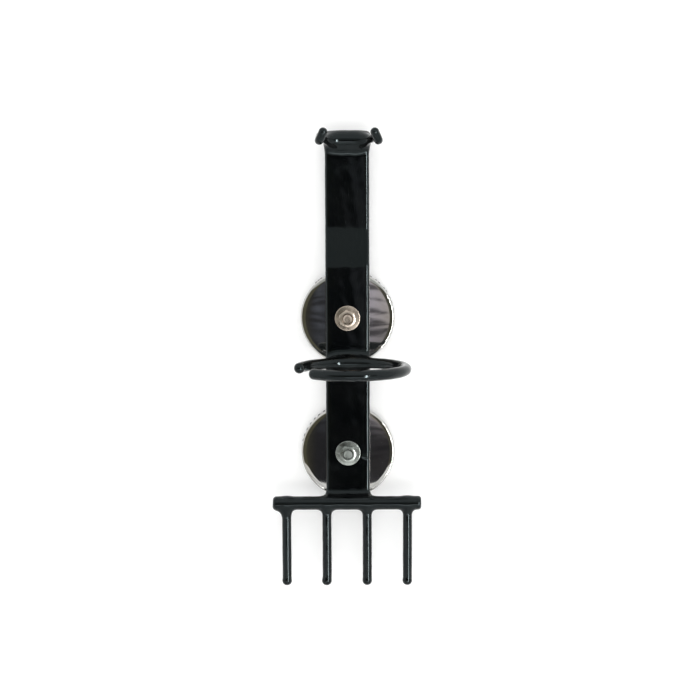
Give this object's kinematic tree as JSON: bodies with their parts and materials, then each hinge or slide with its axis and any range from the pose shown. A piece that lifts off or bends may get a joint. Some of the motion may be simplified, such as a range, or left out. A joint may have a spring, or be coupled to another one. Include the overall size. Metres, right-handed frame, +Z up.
{
  "type": "magnetic tool holder",
  "caption": "Vinyl-dipped steel bracket on round cup magnets, with a U cradle on top, an open ring in the middle and a pronged fork below, for hanging hair tools on a steel wall.",
  "frame": {"origin": "on the plane of the wall that the magnets hold on to, half way between the two magnets", "axes": "+Z up along the bar, -Y out of the wall towards the user, +X to the user's right"},
  "size_m": [0.106, 0.0942, 0.325],
  "materials": {
    "frame_steel": "satin",
    "weld_metal": "satin",
    "black_vinyl": "gloss",
    "cup_chrome": "polished",
    "ferrite": "matte",
    "adhesive": "matte",
    "zinc_plate": "satin"
  },
  "bodies": {
    "root": {"backbone_bar": "frame_steel", "cradle_rod": "frame_steel", "ring_rod": "frame_steel", "fork_crossbar": "frame_steel", "fork_prong_1": "frame_steel", "fork_prong_2": "frame_steel", "fork_prong_3": "frame_steel", "fork_prong_4": "frame_steel", "cradle_weld": "weld_metal", "ring_weld": "weld_metal", "crossbar_weld": "weld_metal", "prong_welds": "weld_metal", "vinyl_coating": "black_vinyl", "magnet_cup_upper": "cup_chrome", "ring_magnet_upper": "ferrite", "adhesive_bed_upper": "adhesive", "bolt_upper": "zinc_plate", "washer_upper": "zinc_plate", "nut_upper": "zinc_plate", "magnet_cup_lower": "cup_chrome", "ring_magnet_lower": "ferrite", "adhesive_bed_lower": "adhesive", "bolt_lower": "zinc_plate", "washer_lower": "zinc_plate", "nut_lower": "zinc_plate"}
  },
  "joints": []
}
